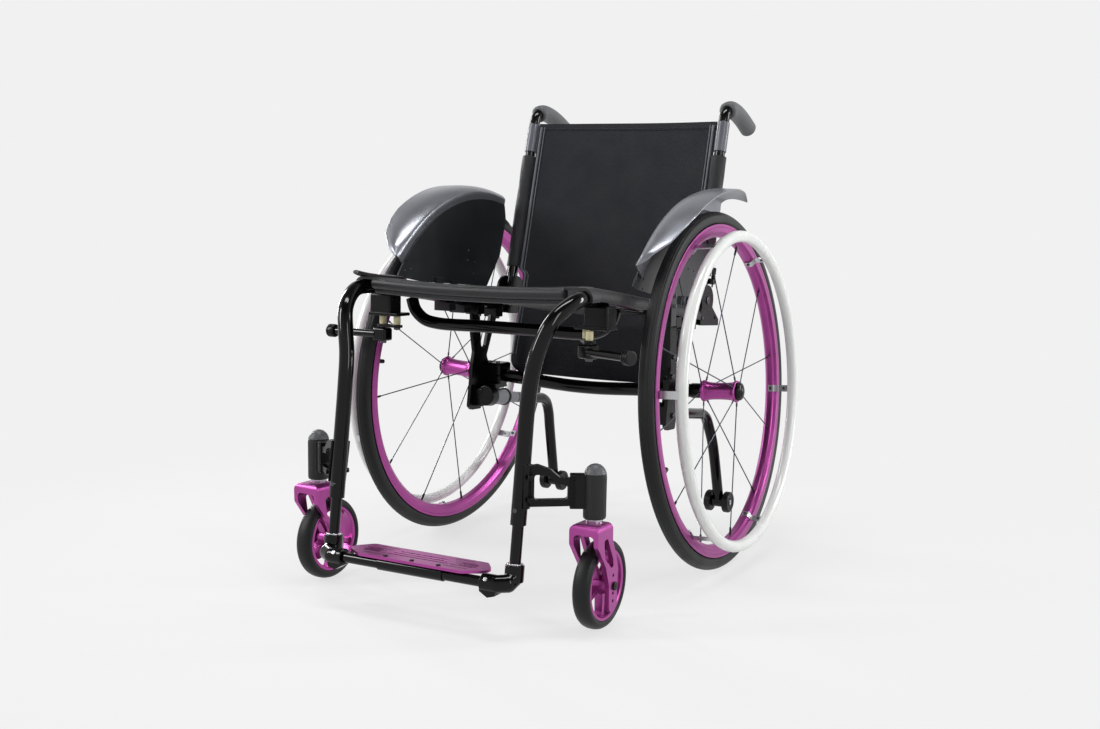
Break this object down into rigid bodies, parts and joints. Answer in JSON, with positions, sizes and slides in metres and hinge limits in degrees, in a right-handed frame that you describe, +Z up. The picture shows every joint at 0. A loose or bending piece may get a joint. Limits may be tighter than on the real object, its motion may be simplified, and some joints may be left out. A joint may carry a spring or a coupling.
{
  "type": "folding wheelchair",
  "caption": "Active wheelchair with a fold-down back: sling seat and back, cambered spoked wheels with push rings, caster forks, footplate, side guards, brakes and anti-tip arms",
  "frame": {"origin": "on the floor, at the centre of the overall box: halfway between the two push rings, and halfway between the footrest's front and the rear tyres' backs", "axes": "+Z up, the front of the chair towards -Y, +X towards the sitter's left side as a viewer in front of the chair sees the right of the picture"},
  "size_m": [0.645, 0.8072, 0.784],
  "materials": {
    "black_anodised_aluminium": "satin anodised",
    "black_guard_plastic": "semi-gloss",
    "black_moulded_plastic": "fine matte",
    "black_nylon_fabric": "woven",
    "dark_spoke_steel": "satin",
    "gloss_black_paint": "gloss paint",
    "grey_anodised_tube": "satin anodised",
    "grey_fender_plastic": "glossy metallic",
    "magenta_anodised_aluminium": "bright anodised",
    "tyre_rubber": "matte rubber",
    "white_coated_ring": "gloss coated"
  },
  "bodies": {
    "frame": {"side_frame_left": "gloss_black_paint", "side_frame_right": "gloss_black_paint", "seat_brace": "gloss_black_paint", "camber_tube": "gloss_black_paint", "axle_mount_left": "black_anodised_aluminium", "axle_mount_right": "black_anodised_aluminium", "anti_tip_socket_left": "grey_anodised_tube", "anti_tip_socket_right": "grey_anodised_tube", "caster_bracket_left": "black_anodised_aluminium", "caster_bracket_right": "black_anodised_aluminium", "caster_housing_left": "black_moulded_plastic", "caster_housing_right": "black_moulded_plastic", "seat_sling": "black_nylon_fabric", "guard_panel_left": "black_guard_plastic", "guard_panel_right": "black_guard_plastic", "guard_fender_left": "grey_fender_plastic", "guard_fender_right": "grey_fender_plastic", "back_hinge_left": "black_anodised_aluminium", "back_hinge_right": "black_anodised_aluminium", "quick_release_axle_left": "black_anodised_aluminium", "quick_release_axle_right": "black_anodised_aluminium", "brake_clamp_left": "black_anodised_aluminium", "brake_clamp_right": "black_anodised_aluminium"},
    "backrest": {"back_post_left": "gloss_black_paint", "back_post_right": "gloss_black_paint", "back_sling": "black_nylon_fabric", "push_grip_left": "tyre_rubber", "push_grip_right": "tyre_rubber"},
    "footrest": {"footrest_leg_left": "gloss_black_paint", "footrest_leg_right": "gloss_black_paint", "footrest_cross_tube": "gloss_black_paint"},
    "footplate": {"footplate": "magenta_anodised_aluminium"},
    "rear_wheel_left": {"rear_tyre_left": "tyre_rubber", "rear_rim_left": "magenta_anodised_aluminium", "spokes_left": "dark_spoke_steel", "rear_hub_left": "magenta_anodised_aluminium", "push_ring_left": "white_coated_ring"},
    "caster_fork_left": {"caster_fork_left": "magenta_anodised_aluminium"},
    "caster_wheel_left": {"caster_tyre_left": "tyre_rubber", "caster_hub_left": "magenta_anodised_aluminium"},
    "brake_link_left": {"brake_link_left": "black_anodised_aluminium"},
    "brake_arm_left": {"brake_arm_left": "black_anodised_aluminium"},
    "anti_tip_arm_left": {"anti_tip_arm_left": "gloss_black_paint"},
    "anti_tip_wheels_left": {"anti_tip_wheels_left": "tyre_rubber"},
    "fold_lock_left": {"fold_lock_left": "black_moulded_plastic"},
    "release_button_left": {"release_button_left": "black_moulded_plastic"},
    "rear_wheel_right": {"rear_tyre_right": "tyre_rubber", "rear_rim_right": "magenta_anodised_aluminium", "spokes_right": "dark_spoke_steel", "rear_hub_right": "magenta_anodised_aluminium", "push_ring_right": "white_coated_ring"},
    "caster_fork_right": {"caster_fork_right": "magenta_anodised_aluminium"},
    "caster_wheel_right": {"caster_tyre_right": "tyre_rubber", "caster_hub_right": "magenta_anodised_aluminium"},
    "brake_link_right": {"brake_link_right": "black_anodised_aluminium"},
    "brake_arm_right": {"brake_arm_right": "black_anodised_aluminium"},
    "anti_tip_arm_right": {"anti_tip_arm_right": "gloss_black_paint"},
    "anti_tip_wheels_right": {"anti_tip_wheels_right": "tyre_rubber"},
    "fold_lock_right": {"fold_lock_right": "black_moulded_plastic"},
    "release_button_right": {"release_button_right": "black_moulded_plastic"}
  },
  "joints": [
    {"name": "back_fold", "type": "hinge", "parent": "frame", "child": "backrest", "pos_m": [0, 0.16975, 0.44], "axis": [1, 0, 0], "range_deg": [0, 96]},
    {"name": "footrest_slide", "type": "slide", "parent": "frame", "child": "footrest", "axis": [0, 0.1221, 0.9925], "range_m": [-0.025, 0.045]},
    {"name": "footplate_flip", "type": "hinge", "parent": "footrest", "child": "footplate", "pos_m": [0, -0.39125, 0.0755], "axis": [1, 0, 0], "range_deg": [0, 88]},
    {"name": "wheel_spin_left", "type": "hinge", "parent": "frame", "child": "rear_wheel_left", "pos_m": [-0.2548, 0.10875, 0.29443], "axis": [-0.9981, 0, 0.0623], "continuous": true},
    {"name": "caster_swivel_left", "type": "hinge", "parent": "frame", "child": "caster_fork_left", "pos_m": [-0.2405, -0.30185, 0.1575], "axis": [0, 0, 1], "continuous": true},
    {"name": "caster_spin_left", "type": "hinge", "parent": "caster_fork_left", "child": "caster_wheel_left", "pos_m": [-0.2405, -0.28065, 0.0635], "axis": [1, 0, 0], "continuous": true},
    {"name": "anti_tip_swing_left", "type": "hinge", "parent": "frame", "child": "anti_tip_arm_left", "pos_m": [-0.1655, 0.10875, 0.24953], "axis": [0, -0.9908, 0.135], "range_deg": [0, 180]},
    {"name": "anti_tip_spin_left", "type": "hinge", "parent": "anti_tip_arm_left", "child": "anti_tip_wheels_left", "pos_m": [-0.1773, 0.32525, 0.0563], "axis": [1, 0, 0], "continuous": true},
    {"name": "brake_swing_left", "type": "hinge", "parent": "frame", "child": "brake_link_left", "pos_m": [-0.168, -0.20125, 0.3955], "axis": [0, 0, -1], "range_deg": [-55, 32]},
    {"name": "brake_press_left", "type": "hinge", "parent": "brake_link_left", "child": "brake_arm_left", "pos_m": [-0.195, -0.20125, 0.382], "axis": [0, 0, -1], "range_deg": [-19, 32]},
    {"name": "fold_lock_pull_left", "type": "slide", "parent": "backrest", "child": "fold_lock_left", "axis": [0, 0.248, 0.9688], "range_m": [0, 0.008], "stiffness_N_per_m": 400, "springref_m": -0.004},
    {"name": "release_press_left", "type": "slide", "parent": "frame", "child": "release_button_left", "axis": [-0.9981, 0, 0.0623], "range_m": [-0.004, 0], "stiffness_N_per_m": 600, "springref_m": 0.002},
    {"name": "wheel_spin_right", "type": "hinge", "parent": "frame", "child": "rear_wheel_right", "pos_m": [0.2548, 0.10875, 0.29443], "axis": [0.9981, 0, 0.0623], "continuous": true},
    {"name": "caster_swivel_right", "type": "hinge", "parent": "frame", "child": "caster_fork_right", "pos_m": [0.2405, -0.30185, 0.1575], "axis": [0, 0, 1], "continuous": true},
    {"name": "caster_spin_right", "type": "hinge", "parent": "caster_fork_right", "child": "caster_wheel_right", "pos_m": [0.2405, -0.28065, 0.0635], "axis": [1, 0, 0], "continuous": true},
    {"name": "anti_tip_swing_right", "type": "hinge", "parent": "frame", "child": "anti_tip_arm_right", "pos_m": [0.1655, 0.10875, 0.24953], "axis": [0, 0.9908, -0.135], "range_deg": [0, 180]},
    {"name": "anti_tip_spin_right", "type": "hinge", "parent": "anti_tip_arm_right", "child": "anti_tip_wheels_right", "pos_m": [0.1773, 0.32525, 0.0563], "axis": [1, 0, 0], "continuous": true},
    {"name": "brake_swing_right", "type": "hinge", "parent": "frame", "child": "brake_link_right", "pos_m": [0.168, -0.20125, 0.3955], "axis": [0, 0, 1], "range_deg": [-3, 84]},
    {"name": "brake_press_right", "type": "hinge", "parent": "brake_link_right", "child": "brake_arm_right", "pos_m": [0.18462, -0.22253, 0.382], "axis": [0, 0, 1], "range_deg": [-49, 2]},
    {"name": "fold_lock_pull_right", "type": "slide", "parent": "backrest", "child": "fold_lock_right", "axis": [0, 0.248, 0.9688], "range_m": [0, 0.008], "stiffness_N_per_m": 400, "springref_m": -0.004},
    {"name": "release_press_right", "type": "slide", "parent": "frame", "child": "release_button_right", "axis": [0.9981, 0, 0.0623], "range_m": [-0.004, 0], "stiffness_N_per_m": 600, "springref_m": 0.002}
  ],
  "couplings": [
    {"joint": "brake_press_left", "follows": "brake_swing_left", "ratio": -0.571},
    {"joint": "brake_press_right", "follows": "brake_swing_right", "ratio": -0.571}
  ]
}
